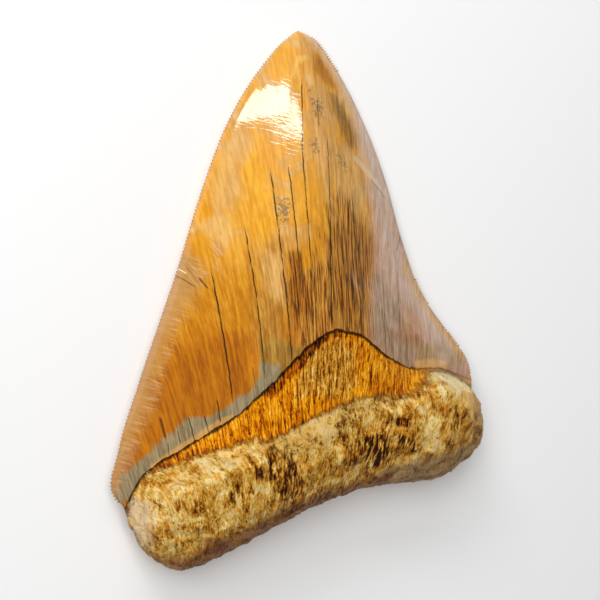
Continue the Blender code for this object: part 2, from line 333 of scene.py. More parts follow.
def roughen(mesh):
    """Bone is lumpy, pitted and grained, the band above it is ribbed, and the enamel barely ripples."""
    points, normals, row = points_of(mesh), normals_of(mesh), kept(mesh, "row")
    height = np.zeros(len(points))

    bone = ease((ROOT_ROWS - row) / 4.0)
    there = bone > 0
    spots = points[there]
    lumps = LUMP_HEIGHT * grain(spots, (1 / LUMP_SIZE, 0.6 / LUMP_SIZE, 1 / LUMP_SIZE), roughness=0.8)
    strands = BONE_GRAIN * grain(spots, (0.8, 0.45, 0.7), 4, 0.75, 31.0)
    pits = grain(spots, (0.42, 0.24, 0.34), 3, 0.8, 57.0)
    height[there] = lumps + strands - PIT_DEPTH * ease((pits - 0.22) / 0.4)
    for x, y, radius, depth in HOLLOWS:
        far = np.hypot(points[:, 0] - x, points[:, 1] - y)
        height -= depth * ease(1 - far / radius) * (normals[:, 2] > 0)
    height *= bone

    collar = ease((row - ROOT_ROWS + 3) / 4.0) * ease((LIP_FOOT - row) / 3.0)
    there = collar > 0
    ribs = grain(fibre_lines(points[there]), (0.85, 0.16, 0.1), 4, 0.7, 11.0)
    height[there] += COLLAR_RIBS * collar[there] * ribs

    crown = ease((row - CROWN_FOOT) / 6.0)
    there = crown > 0
    fibres = fibre_lines(points[there])
    ripple = ENAMEL_RIPPLE * grain(fibres, (0.09, 0.03, 0.0), 2, 1.0, 5.0)
    streaks = ENAMEL_STREAK * grain(fibres, (0.7, 0.05, 0.0), 2, 1.0, 15.0)
    height[there] += crown[there] * (ripple + streaks)

    points += normals * height[:, None]
    points[:, 2] = np.maximum(points[:, 2], 0.0)
    move_points(mesh, points)


def along_rim(mesh, row):
    """The points of the cutting edges, where the crown's two sheets meet, and the edges that join them."""
    sheets = np.empty(len(mesh.polygons), dtype=np.int32)
    mesh.attributes["sheet"].data.foreach_get("value", sheets)
    sides = {}
    for poly, sheet in zip(mesh.polygons, sheets.tolist()):
        for key in poly.edge_keys:
            sides[key] = sides.get(key, 0) + sheet
    joined = set()
    for first, second in mesh.edge_keys:
        in_crown = CROWN_FOOT <= min(row[first], row[second]) and max(row[first], row[second]) < ROWS
        if in_crown and sides[first, second] == LINGUAL_SHEET + LABIAL_SHEET:
            joined.add((first, second))
    return {vert for key in joined for vert in key}, joined


def serrate(tooth):
    """The cutting edges are parted finely between rows, and every other mark along them stands out."""
    mesh = tooth.data
    row = kept(mesh, "row")
    rim, joined = along_rim(mesh, row)
    beside = set()
    for first, second in mesh.edge_keys:
        if (first in rim) != (second in rim) and row[first] == row[second]:
            beside.add(second if first in rim else first)
    bpy.ops.object.mode_set(mode="EDIT")
    bpy.ops.mesh.select_mode(type="EDGE")
    bpy.ops.mesh.select_all(action="DESELECT")
    bpy.ops.object.mode_set(mode="OBJECT")
    for edge in mesh.edges:
        first, second = edge.vertices
        next_in = first in beside and second in beside and row[first] != row[second]
        edge.select = edge.key in joined or bool(next_in)
    bpy.ops.object.mode_set(mode="EDIT")
    bpy.ops.mesh.subdivide(number_cuts=SERRATION_MARKS - 1, ngon=False)
    bpy.ops.object.mode_set(mode="OBJECT")
    points, outward, row = points_of(mesh), normals_of(mesh), kept(mesh, "row")
    outward[:, 2] = 0.0
    outward /= np.maximum(np.linalg.norm(outward, axis=1), 1e-9)[:, None]
    on_rim = np.zeros(len(points), bool)
    on_rim[sorted(along_rim(mesh, row)[0])] = True
    standing = np.rint(row * SERRATION_MARKS) % 2 == 1
    unworn = on_rim * ease(np.linalg.norm(points - np.array(TIP), axis=1) / WORN_TIP)
    keep(mesh, "serration", unworn * standing)
    points += outward * (SERRATION_DEPTH * unworn * (standing - SERRATION_HOLLOW))[:, None]
    move_points(mesh, points)


def inside(xy, outline):
    """How far inside a closed outline each point of the plan is, or, below 0, how far outside."""
    corners = np.array(outline, float).reshape(-1, 2)
    nearest = np.full(len(xy), np.inf)
    within = np.zeros(len(xy), bool)
    for start, end in zip(corners, np.roll(corners, -1, axis=0)):
        run = end - start
        share = np.clip((xy - start) @ run / (run @ run), 0.0, 1.0)
        nearest = np.minimum(nearest, np.linalg.norm(xy - start - share[:, None] * run, axis=1))
        if run[1]:
            crosses = (start[1] > xy[:, 1]) != (end[1] > xy[:, 1])
            within ^= crosses & (xy[:, 0] < start[0] + (xy[:, 1] - start[1]) / run[1] * run[0])
    return np.where(within, nearest, -nearest)


def survey(mesh):
    """Measures that the finishes read: how far each point is from the lines and into each patch."""
    points, row, lingual = points_of(mesh), kept(mesh, "row"), kept(mesh, "lingual") > 0.5
    xy = points[:, :2]
    fibre = fibre_lines(points)
    fibre[:, 2] = np.where(lingual, 0.0, 40.0)
    keep(mesh, "fibre", fibre)
    place = points.copy()
    place[:, 2] += np.where(lingual, 0.0, 60.0)
    keep(mesh, "place", place)
    for name, lines, line_row in (
        ("above root", ROOT_LINES, ROOT_ROWS),
        ("above enamel edge", ENAMEL_LINES, LIP_FOOT + LIP_ROWS / 2),
    ):
        far = np.where(lingual, distance(xy, lines["lingual"], 500), distance(xy, lines["labial"], 500))
        keep(mesh, name, far * np.sign(row - line_row))
    keep(mesh, "from left edge", distance(xy, LEFT_CUTTING_EDGE, 400))
    for patch_name, (outline, *_) in {**ENAMEL_PATCHES, **ROOT_PATCHES}.items():
        shown = lingual | (patch_name in ON_BOTH_FACES)
        keep(mesh, patch_name, np.where(shown, inside(xy, outline), OFF_THE_FACE))
    labial_foot = 6.0 - distance(xy, ENAMEL_LINES["labial"], 500)
    keep(mesh, "grey band", np.where(lingual, kept(mesh, "grey band"), labial_foot))
    for name, outlines in (
        ("speckled", SPECKLED), ("over root", OVER_ROOT),
        ("tan crest", (TAN_CREST,)), ("white spot", (WHITE_SPOT,)),
    ):
        far_in = np.max([inside(xy, outline) for outline in outlines], axis=0)
        keep(mesh, name, np.where(lingual, far_in, OFF_THE_FACE))
    for name, shades in (("root shade", ROOT_SHADES), ("band shade", BAND_SHADES)):
        shade = sum(amount * ease(0.5 + inside(xy, outline) / (2 * soft)) for outline, amount, soft in shades)
        keep(mesh, name, np.where(lingual, shade, 0.0))


def model_tooth():
    bpy.ops.object.select_all(action="DESELECT")
    sheets = [add_sheet("lingual"), add_sheet("labial")]
    for sheet in sheets:
        sheet.select_set(True)
    bpy.ops.object.join()
    tooth = bpy.context.object
    tooth.name = "megalodon_tooth"
    bpy.ops.object.mode_set(mode="EDIT")
    bpy.ops.mesh.select_all(action="SELECT")
    bpy.ops.mesh.remove_doubles(threshold=0.0001)
    bpy.ops.mesh.normals_make_consistent(inside=False)
    bpy.ops.object.mode_set(mode="OBJECT")
    roughen(tooth.data)
    serrate(tooth)
    survey(tooth.data)
    move_points(tooth.data, (points_of(tooth.data) - np.array((*MIDDLE, 0.0))) * MM)
    bpy.ops.object.shade_smooth()
    return tooth


# ---------------------------------------------------------------- the finishes

# Outlines are written as x, y, x, y and so on, round the patch.
# Patches on the crown: the outline, the dark and the light tone of its streaks, how soft its border
# is, how far the streaks run over that border, and its share.
ENAMEL_PATCHES = {
    "tip amber": (
        (
            85, 101.5, 86, 102.4, 88.8, 102.7, 90.5, 100.7, 92.2, 98.9, 93.2, 94.7, 93.8, 91, 93.4, 87.7,
            90.7, 89.6, 87.9, 91.8, 85, 90.6, 82.5, 90.4, 81.7, 92.1, 81.2, 96.3, 82.9, 100.4,
        ),
        (210, 142, 52), (240, 178, 92), 1, 1.6, 0.85,
    ),
    "tip arc": (
        (
            80.8, 95.4, 82.4, 98.1, 84.3, 100, 86.8, 99.9, 88.3, 99, 85.8, 98.4, 84.2, 98.2, 82.6, 96.4,
            81.1, 93.9,
        ),
        (232, 174, 80), (250, 204, 116), 0.7, 0.8, 0.8,
    ),
    "tip shade": (
        (90.3, 99.7, 92.5, 97.8, 94, 93.3, 94.2, 87.8, 91.5, 89, 89.2, 92.6, 88.1, 96.1),
        (170, 102, 10), (202, 134, 30), 1.2, 1.4, 0.85,
    ),
    "gold wedge": (
        (
            62.4, 78.9, 64.4, 78.1, 64.7, 73.2, 63, 64.4, 62, 57.5, 58.2, 52.2, 56.2, 55.7, 56.1, 62.6,
            56.5, 69.3, 58.5, 74.3,
        ),
        (224, 150, 22), (250, 184, 52), 1.6, 3, 0.85,
    ),
    "gold spot high": (
        (48.6, 71, 50.6, 68.6, 47.8, 63.5, 43.2, 62.7, 44, 66.8),
        (226, 146, 10), (246, 174, 34), 1.4, 1.5, 0.85,
    ),
    "gold spot low": (
        (42.3, 60.8, 46, 59, 44.2, 53.8, 39.9, 53.8, 39.9, 57),
        (212, 138, 12), (236, 162, 36), 1.6, 1.5, 0.8,
    ),
    "pale hollow": (
        (45.3, 63.6, 47.7, 64.4, 51.5, 63.5, 51, 58.1, 48.5, 54.8, 46, 57.5, 44.3, 60.8),
        (226, 168, 88), (244, 200, 122), 1, 2, 0.8,
    ),
    "tan cloud": (
        (61, 84, 64, 82, 62.5, 78, 58.1, 74.4, 54.8, 69.6, 51.5, 65, 49, 65, 49, 68.3, 51.7, 72.7, 56, 78.9),
        (216, 160, 84), (238, 188, 112), 1.6, 2.5, 0.75,
    ),
    "left flank": (
        (
            37.4, 57, 40.2, 54, 40.2, 50, 38, 46.6, 34.7, 43.9, 30.5, 40, 25.9, 34.6, 21.9, 28.8, 18.2,
            23.3, 15.6, 19.4, 11.6, 15.2, 7.9, 10.6, 3.6, 4.9, 1.1, 0.1, -4, 4, 30, 62,
        ),
        (184, 132, 68), (208, 156, 92), 2.6, 4, 0.92,
    ),
    "mauve corner": (
        (9.8, 12, 7, 6.6, 4, 0, -6, -4, -4, 8, 5, 15),
        (166, 116, 78), (190, 140, 102), 2, 1.5, 0.75,
    ),
    "pink patch": (
        (45, 58, 47, 57, 46.8, 53.4, 45.2, 53.6),
        (206, 148, 82), (228, 176, 122), 0.9, 1.4, 0.6,
    ),
    "grey smudge": (
        (36.6, 56, 39.4, 55.3, 38.8, 51.6, 36, 52.4),
        (148, 112, 56), (176, 136, 76), 1.2, 1, 0.6,
    ),
    "tan centre": (
        (
            52.4, 50.4, 57.4, 54.2, 61.3, 52.7, 60.6, 47.2, 58, 43, 55.4, 35.5, 54.1, 29.6, 50.6, 24.2,
            45.5, 26.8, 48.1, 37.6, 50.2, 43.7,
        ),
        (160, 106, 28), (208, 152, 62), 3, 4, 0.85,
    ),
    "pale centre": (
        (55.5, 51.8, 59.4, 50.4, 57.9, 42.1, 54.8, 37, 52.8, 41.5),
        (204, 148, 72), (236, 186, 112), 1.4, 3, 0.8,
    ),
    "pale upper right": (
        (83.1, 90, 86.5, 88.5, 88, 82, 85.2, 74, 81.2, 66.2, 75.4, 66.6, 79.2, 80.7),
        (204, 148, 78), (236, 184, 120), 2.2, 4, 0.75,
    ),
    "right strip": (
        (84, 76, 90, 72, 94, 68, 93, 58, 88, 49, 80, 52, 80, 64),
        (190, 138, 66), (240, 190, 116), 2.6, 5, 0.8,
    ),
    "olive streaks": (
        (90.4, 88.5, 93.2, 86.8, 94.6, 81.3, 95.8, 75.7, 93.7, 71.8, 91, 72.5, 89.8, 77.4, 88.8, 82.7),
        (116, 78, 20), (186, 130, 48), 1.6, 4, 0.85,
    ),
    # Painted reflection: the pale pinkish sheen of the steep right flank, laid into its colour.
    "right flank painted reflection": (
        (
            92.6, 102.6, 96.4, 97.3, 98.5, 88.5, 98.5, 83.6, 96.4, 77.3, 95.9, 72.1, 96, 67.4, 94, 59.8,
            92.2, 53.6, 89.8, 47.7, 86.9, 42.2, 82.6, 33.7, 79, 28.4, 75.8, 22.8, 84, 10, 96, 3, 118, -4,
            120, 102,
        ),
        (180, 144, 120), (222, 190, 172), 3.4, 3.6, 0.76,
    ),
    # Painted reflection: the darker lower end of the same sheen on the right flank.
    "right flank foot painted reflection": (
        (84, 36, 82.5, 31.9, 79, 25.8, 77, 19.5, 84, 11, 93, 6, 96, 12, 93, 24, 89, 38),
        (134, 106, 74), (194, 162, 128), 2.4, 3, 0.8,
    ),
    "warm patch": (
        (93, 27.3, 98.4, 25.4, 99.5, 17.4, 93.6, 15, 89.3, 19.8),
        (176, 120, 68), (214, 160, 106), 1.8, 1.5, 0.65,
    ),
    "russet patch": (
        (85.1, 21.6, 87.4, 21.3, 91.2, 19.1, 95.3, 15.8, 94.2, 13.6, 89.4, 15.8, 84.1, 18.7),
        (150, 86, 44), (184, 122, 72), 1.4, 2.5, 0.55,
    ),
    "green-grey foot": (
        (93.4, 14.6, 103, 12.6, 110.2, 7.6, 110, 3.3, 100.9, 6.9, 92.1, 10.2),
        (164, 134, 86), (200, 168, 118), 1.2, 1, 0.75,
    ),
    "peach right": (
        (90.4, 10.7, 97.6, 9.2, 103.6, 6.6, 102.8, 3.6, 95.8, 5.2, 89.7, 8),
        (222, 164, 92), (240, 190, 122), 0.6, 0.8, 0.85,
    ),
    "amber rim": (
        (98.2, 36, 98.6, 27.1, 102.6, 18.6, 107.4, 10, 110.6, 4.8, 118, 2, 112, 26, 104, 40),
        (200, 150, 88), (228, 180, 116), 1, 0.5, 0.7,
    ),
    "stain": (
        (
            60.8, 46.2, 62, 48.2, 64, 45.6, 67.4, 45.8, 71.5, 48.6, 74.4, 53, 76.6, 57.5, 80.4, 59.8, 84.6,
            58.9, 88, 52.8, 88.4, 43.5, 83.6, 33.7, 79.4, 28.6, 76, 21.5, 69, 23.3, 64.3, 26.1, 58.8, 24.2,
            54.9, 24.2, 55.5, 29, 57.3, 35.9, 59.4, 42.7,
        ),
        (86, 38, 0), (226, 158, 62), 2.4, 7, 0.97,
    ),
    "stain dark": (
        (
            73.5, 49.3, 77, 51, 81, 50.6, 84.6, 47.6, 85.4, 41.4, 82, 34, 77.6, 29, 70.7, 26.9, 69, 34,
            71.4, 42,
        ),
        (70, 32, 2), (206, 136, 50), 2.4, 6, 0.8,
    ),
    "stain core": (
        (61.5, 49.2, 63.9, 47.9, 62.4, 39.3, 60.8, 32.9, 57, 33.5, 57.9, 40.2, 60, 45.1),
        (44, 18, 0), (176, 96, 10), 2.4, 4.5, 0.84,
    ),
    "deep foot": (
        (14, 20, 18, 25, 24, 30, 32, 34, 42, 33, 45, 28, 40, 19, 30, 13, 14, 11),
        (152, 80, 0), (200, 118, 0), 3, 4, 0.8,
    ),
    "grey band": (
        (
            -1.5, -3, 3.6, 4.9, 9.8, 7.6, 15.6, 10.6, 17.8, 12, 21.7, 13.6, 24, 15.4, 26, 14.6, 29.1, 13.9,
            33.7, 15.2, 36.6, 16.4, 40.4, 17.6, 43.6, 20.4, 45, 24, 50, 22, 48, 16, 36, 9, 20, 2,
        ),
        (126, 112, 80), (174, 157, 120), 0.6, 1.8, 0.95,
    ),
    "tan foot": (
        (41.4, 17.6, 43.8, 20.4, 45, 24.4, 46.4, 29, 48.6, 30.2, 51.4, 28.6, 55.6, 25.4, 58.4, 24, 48, 15),
        (136, 94, 22), (196, 150, 66), 0.8, 3.4, 0.88,
    ),
    "peach left": (
        (12, 5.6, 18, 8, 24.7, 10.2, 30, 12, 35, 13.4, 34, 10, 24, 6.6, 12, 3),
        (204, 150, 76), (228, 178, 104), 0.45, 0.8, 0.85,
    ),
}
# Scattered specks on the crown, by outline.
SPECKLED = (
    (63.4, 64.9, 67, 64, 65.9, 59.1, 62.7, 55.6, 61.8, 57.9, 62.2, 61.3),
    (85, 72.2, 88.7, 70.3, 87.5, 65.4, 84.7, 67.6),
    (83.1, 88, 87.6, 87.2, 85.2, 82.2, 82, 82.8),
    (91, 86.5, 93, 83.8, 93.6, 78.5, 91.6, 79.5, 90.2, 83.5),
    (83.6, 91, 84.6, 90.4, 84.2, 88.6, 83.2, 89.4),
    (78, 78, 81, 77, 80, 72, 77.6, 73),
)
WHITE_SPOT = (84.9, 94.6, 85.9, 94, 85.5, 91.4, 84.3, 91.2, 84.1, 92.6)

# Where the root is lighter or darker: the outline, by how much and how soft the border is.
ROOT_SHADES = (
    ((25.5, 1.2, 34.9, -1.7, 33.1, -9.4, 22.6, -5.8), -0.1, 1.5),
    ((91, 3, 104, 1, 109, -3, 105, -9, 92, -6), 0.24, 2),
    ((38.7, -9.9, 51.2, -12.5, 60, -15, 56, -19, 38.6, -16), -0.16, 2),
    ((15.5, 3, 18.6, 2.5, 15.5, -3, 11.8, -2), 0.26, 1),
    ((23.3, 4.4, 31, 4.5, 27, -1.6, 19.6, -1.6), 0.28, 1.4),
    ((6, 0, 20, 4, 36, 4.6, 34, -4, 22, -7, 8, -8), 0.12, 3),
    ((36.6, 4, 39.8, 3.5, 37.4, -0.5, 34, 0.3), 0.42, 0.6),
    ((10.8, -6.5, 14.6, -6.5, 14.6, -13.6, 10.6, -13.2), 0.24, 1),
    ((11, -2, 14.1, -2.5, 13.4, -6.4, 10.4, -5.7), -0.26, 0.8),
    ((15.3, -1, 18.6, -1.9, 18.4, -7.4, 15.1, -6.9), -0.3, 0.9),
    ((25.8, -2.3, 29, -3, 28.8, -7, 25.6, -5.9), -0.32, 0.8),
    ((33.4, 3, 34.9, 2.6, 35.3, -4, 32.9, -3.7), -0.4, 0.5),
    ((37.7, 2.4, 39.4, 2, 39.8, -5.4, 37, -5), -0.44, 0.5),
    ((42.2, 0.3, 44.2, -0.2, 45, -6.6, 42.2, -6.7), -0.42, 0.6),
    ((37.4, -3.4, 46.4, -4.8, 46, -12.3, 38.5, -10.9), -0.3, 1.6),
    ((40, 1, 47, 1, 58, -2, 58, -11, 46, -13, 36, -10), -0.02, 3),
    ((47, 3.5, 58, 3, 60, -3, 52, -5, 47, -2), 0.14, 2),
    ((65.8, -2.8, 71.4, -3.3, 72.8, -8.4, 71.4, -12.8, 65.1, -11.5), -0.54, 1.2),
    ((58, 0.4, 67.4, -0.2, 66, -11, 58.4, -9.2), -0.2, 1.6),
    ((72.5, 0, 76, 0, 75.5, -5, 72.5, -4), -0.14, 1.2),
    ((75.8, -0.5, 77.7, -0.9, 77.3, -3, 75.4, -2.5), -0.6, 0.4),
    ((78, -1.6, 79.6, -2.1, 79.2, -4, 77.7, -3.6), -0.6, 0.4),
    ((73.5, -4, 75.4, -4.6, 81.9, -10.9, 80.7, -12.4, 76.3, -9.3), -0.42, 0.6),
    ((82.3, -4.2, 88.6, -4.8, 87.8, -13.4, 81.4, -12.7), 0.22, 1.2),
    ((93.6, 6.6, 103.8, 4, 111, -1.8, 105.2, -3.8, 94.6, -0.4, 89.8, 1.4), 0.3, 1.4),
    ((92.4, -2.8, 97, -3.6, 96, -10.5, 91, -9), -0.36, 0.9),
    ((97, -5, 99, -5, 99, -12, 96.6, -11), -0.16, 0.9),
    ((51.8, 6.2, 57.8, 5.6, 55.9, 1.9, 51.4, 2.2), 0.46, 0.6),
    ((69.8, 8.3, 73.3, 7.6, 71.8, 4.3, 68.5, 4.5), 0.34, 0.8),
    ((56.8, 6.4, 62.5, 6.9, 62.4, 5.4, 56.8, 4.6), 0.4, 0.4),
)
# Where the bare band is tan and grained, by outline.
TAN_CREST = (
    51.4, 12, 53, 16.6, 57.2, 22.6, 61.9, 25, 67.5, 24, 70.6, 20, 69.4, 13, 65.6, 8.6, 60.2, 10, 55.6, 12.6,
)
# Where the bare band reaches over the root, by outline, and where it is lighter or darker.
OVER_ROOT = (
    (38.2, 6.6, 39.5, 4, 44.3, 4.1, 49.8, 4.4, 51.4, 7, 50, 10, 38.8, 9.6),
    (69.3, 9.1, 74.9, 6, 79.5, 3.7, 84.6, 3.7, 89.3, 4.5, 94.6, 5.6, 88, 9.6, 70.3, 11.5),
)
BAND_SHADES = (
    ((57.2, 24.5, 61.9, 25.6, 69.9, 23.8, 72.5, 17.2, 67.7, 9, 60.2, 9, 53, 11.3, 51.6, 17), -0.04, 2),
    ((73.9, 13.3, 84.2, 10.1, 83, 4.6, 72.1, 7), -0.12, 1.5),
    # This row and the next: painted shade, partly dark stain, along the band just under the enamel's lip.
    ((43.1, 15.9, 51.8, 21.6, 62.3, 27.5, 63.7, 25.2, 54.9, 19.4, 45.9, 14.2), -0.34, 0.9),
    ((60, 27.6, 73, 25.6, 74, 22.6, 66, 24.8, 60, 24.2), -0.22, 0.8),
    ((48.8, 9.8, 54.2, 9.7, 54.5, 5.5, 48.8, 4.8), -0.16, 1),
    ((57.3, 11, 62.5, 10.4, 61.5, 6.1, 56.6, 6.8), -0.14, 1),
    # Painted shade, partly dark stain, along the band's lower edge, in the crevice above the root.
    ((20, 6.8, 30, 8.2, 46, 9, 52, 7.4, 52, 4, 36, 3.4, 20, 2.4), -0.1, 1),
    ((2, 0, 10, 5, 20, 8, 20, 3, 8, 0), -0.18, 1),
)
# Patches on the root that have a colour of their own, in the order of the crown's patches. The grey and the
# brown patch along the foot are partly painted shade too, darker along the underside.
ROOT_PATCHES = {
    "green-grey crest": (
        (
            37.1, 3.2, 46.3, 5.4, 51.9, 6.8, 59.5, 8.2, 63.9, 8.4, 70.1, 9.9, 75.7, 7.8, 83, 5.6, 83, 2.8,
            74.7, 3.4, 67.7, 2.4, 62.2, 1.4, 55.7, -0.3, 49.5, -1.2, 44.1, -1.9,
        ),
        (62, 44, 16), (212, 172, 92), 1.6, 3, 0.6,
    ),
    "bare end": (
        (2, -2, 6.3, -1.2, 7.6, -3.1, 5.4, -10, 4.6, -14, -1, -16),
        (204, 168, 114), (228, 198, 154), 1, 1.2, 0.92,
    ),
    "smooth right end": (
        (98.7, -0.5, 105.9, -2.1, 112, -4, 112, -18, 104.9, -16.5, 98.7, -13.1),
        (140, 98, 48), (222, 174, 104), 1.8, 1.5, 0.8,
    ),
    "pale heel": (
        (94.8, 5.8, 103.8, 3.5, 111.6, -1.4, 106.2, -3, 96.6, 1),
        (224, 186, 118), (254, 234, 182), 1.2, 1.2, 0.9,
    ),
    # Partly painted shade: the underside of the root's right half, darker.
    "grey foot": (
        (72, -14, 80, -13.6, 87.5, -14.8, 98.7, -15.2, 104, -16, 116, -16, 112, -34, 72, -34),
        (118, 84, 50), (176, 140, 96), 1.6, 1.6, 0.78,
    ),
    # Partly painted shade: the underside along the root's left and middle, darker.
    "brown foot and underside shade": (
        (
            2, -20, 6, -18.4, 15.4, -17.9, 24, -16.6, 34.6, -15.1, 44.6, -14, 60.4, -14.6, 74, -15.4, 74,
            -34, 2, -34,
        ),
        (80, 32, 8), (150, 86, 38), 1.6, 1.5, 0.78,
    ),
    "red foot": (
        (16, -14.7, 21.9, -16, 24.8, -21.3, 17, -19.7),
        (92, 40, 14), (134, 74, 38), 1.4, 1, 0.7,
    ),
}

# Cracks on the crown, each from (across the fibres, along them) at its upper end to its lower end,
# how wide it is and how dark.
CRACKS = (
    ((53.6, 94.5), (51.5, 72), 0.09, 0.95), ((51.7, 76), (51, 44.5), 0.12, 0.95),
    ((56.6, 87.5), (56.5, 79.3), 0.05, 0.8), ((48.3, 73), (47.9, 44), 0.09, 1),
    ((48.6, 42.5), (48.3, 37), 0.08, 0.7), ((44.6, 73), (43.9, 45), 0.1, 1),
    ((43.9, 48), (44.1, 21.4), 0.14, 1), ((58.5, 78.5), (57.4, 50), 0.07, 0.95),
    ((57.5, 57), (55.8, 26.4), 0.15, 1), ((65.2, 61), (66.4, 22.6), 0.1, 1),
    ((37.5, 61), (36.4, 18), 0.1, 1), ((28.7, 51.8), (27.2, 13.6), 0.14, 1),
    ((76.2, 31), (75.6, 16.4), 0.1, 0.75), ((78.4, 22), (78.6, 15), 0.08, 0.6),
    ((83.5, 40.5), (82.7, 18.4), 0.1, 0.7), ((90, 17.6), (90.8, 14), 0.07, 0.6),
    ((23.2, 18), (23.4, 11.4), 0.13, 0.95), ((19.2, 14.8), (19.8, 9.6), 0.12, 0.95),
    ((14.9, 15.8), (15.6, 8.2), 0.1, 0.9), ((7.8, 17.4), (7.7, 11.4), 0.3, 0.75),
    ((11.2, 12.8), (11.6, 9), 0.1, 0.8), ((8.1, 10.4), (7.7, 6.4), 0.1, 0.7),
    ((61.4, 46), (61.9, 26.4), 0.05, 0.7), ((50.5, 33), (50.6, 27.4), 0.08, 0.7),
    ((33.5, 24), (33.9, 17.2), 0.07, 0.7),
)
# Marks that run across the fibres, from end to end in the plan, how wide, and their tone and share.
SCRATCHES_AND_CREASE_HIGHLIGHTS = (
    ((34.4, 51.8), (37.6, 47), 0.12, (112, 76, 28), 0.8),
    ((35.7, 53.2), (36.8, 51.2), 0.12, (250, 230, 184), 0.85),
    ((39, 49.6), (40.1, 45.8), 0.16, (92, 58, 18), 0.85),
    ((37.4, 53.8), (38.6, 47), 0.07, (132, 92, 44), 0.6),
    ((38.4, 54.2), (39.4, 50.4), 0.07, (232, 190, 136), 0.5),
    ((36.8, 52.6), (37.6, 48.4), 0.06, (226, 182, 130), 0.5),
    ((45, 58.4), (46.6, 53), 0.1, (230, 184, 140), 0.6),
    ((44, 57), (45.6, 52.4), 0.07, (150, 104, 44), 0.4),
    # This pale line and the pale one two rows on are partly painted highlight, where the crease on the right
    # flank catches the light.
    ((91.4, 69.6), (98, 59.6), 0.8, (232, 198, 154), 0.7),
    ((95.4, 62.4), (100.4, 55), 0.16, (138, 98, 56), 0.7),
    ((94.8, 65.8), (100.6, 56.8), 0.2, (230, 200, 160), 0.6),
    ((102.2, 44), (98.5, 40.2), 0.18, (136, 108, 62), 0.8),
)

# How soft the sides of a crack or a scratch are.
LINE_BLUR = 0.11


def tone(red, green, blue):
    """A colour from its screen values, 0 to 255."""
    shares = [value / 255 for value in (red, green, blue)]
    linear = [((share + 0.055) / 1.055) ** 2.4 if share > 0.04045 else share / 12.92 for share in shares]
    return (*linear, 1.0)


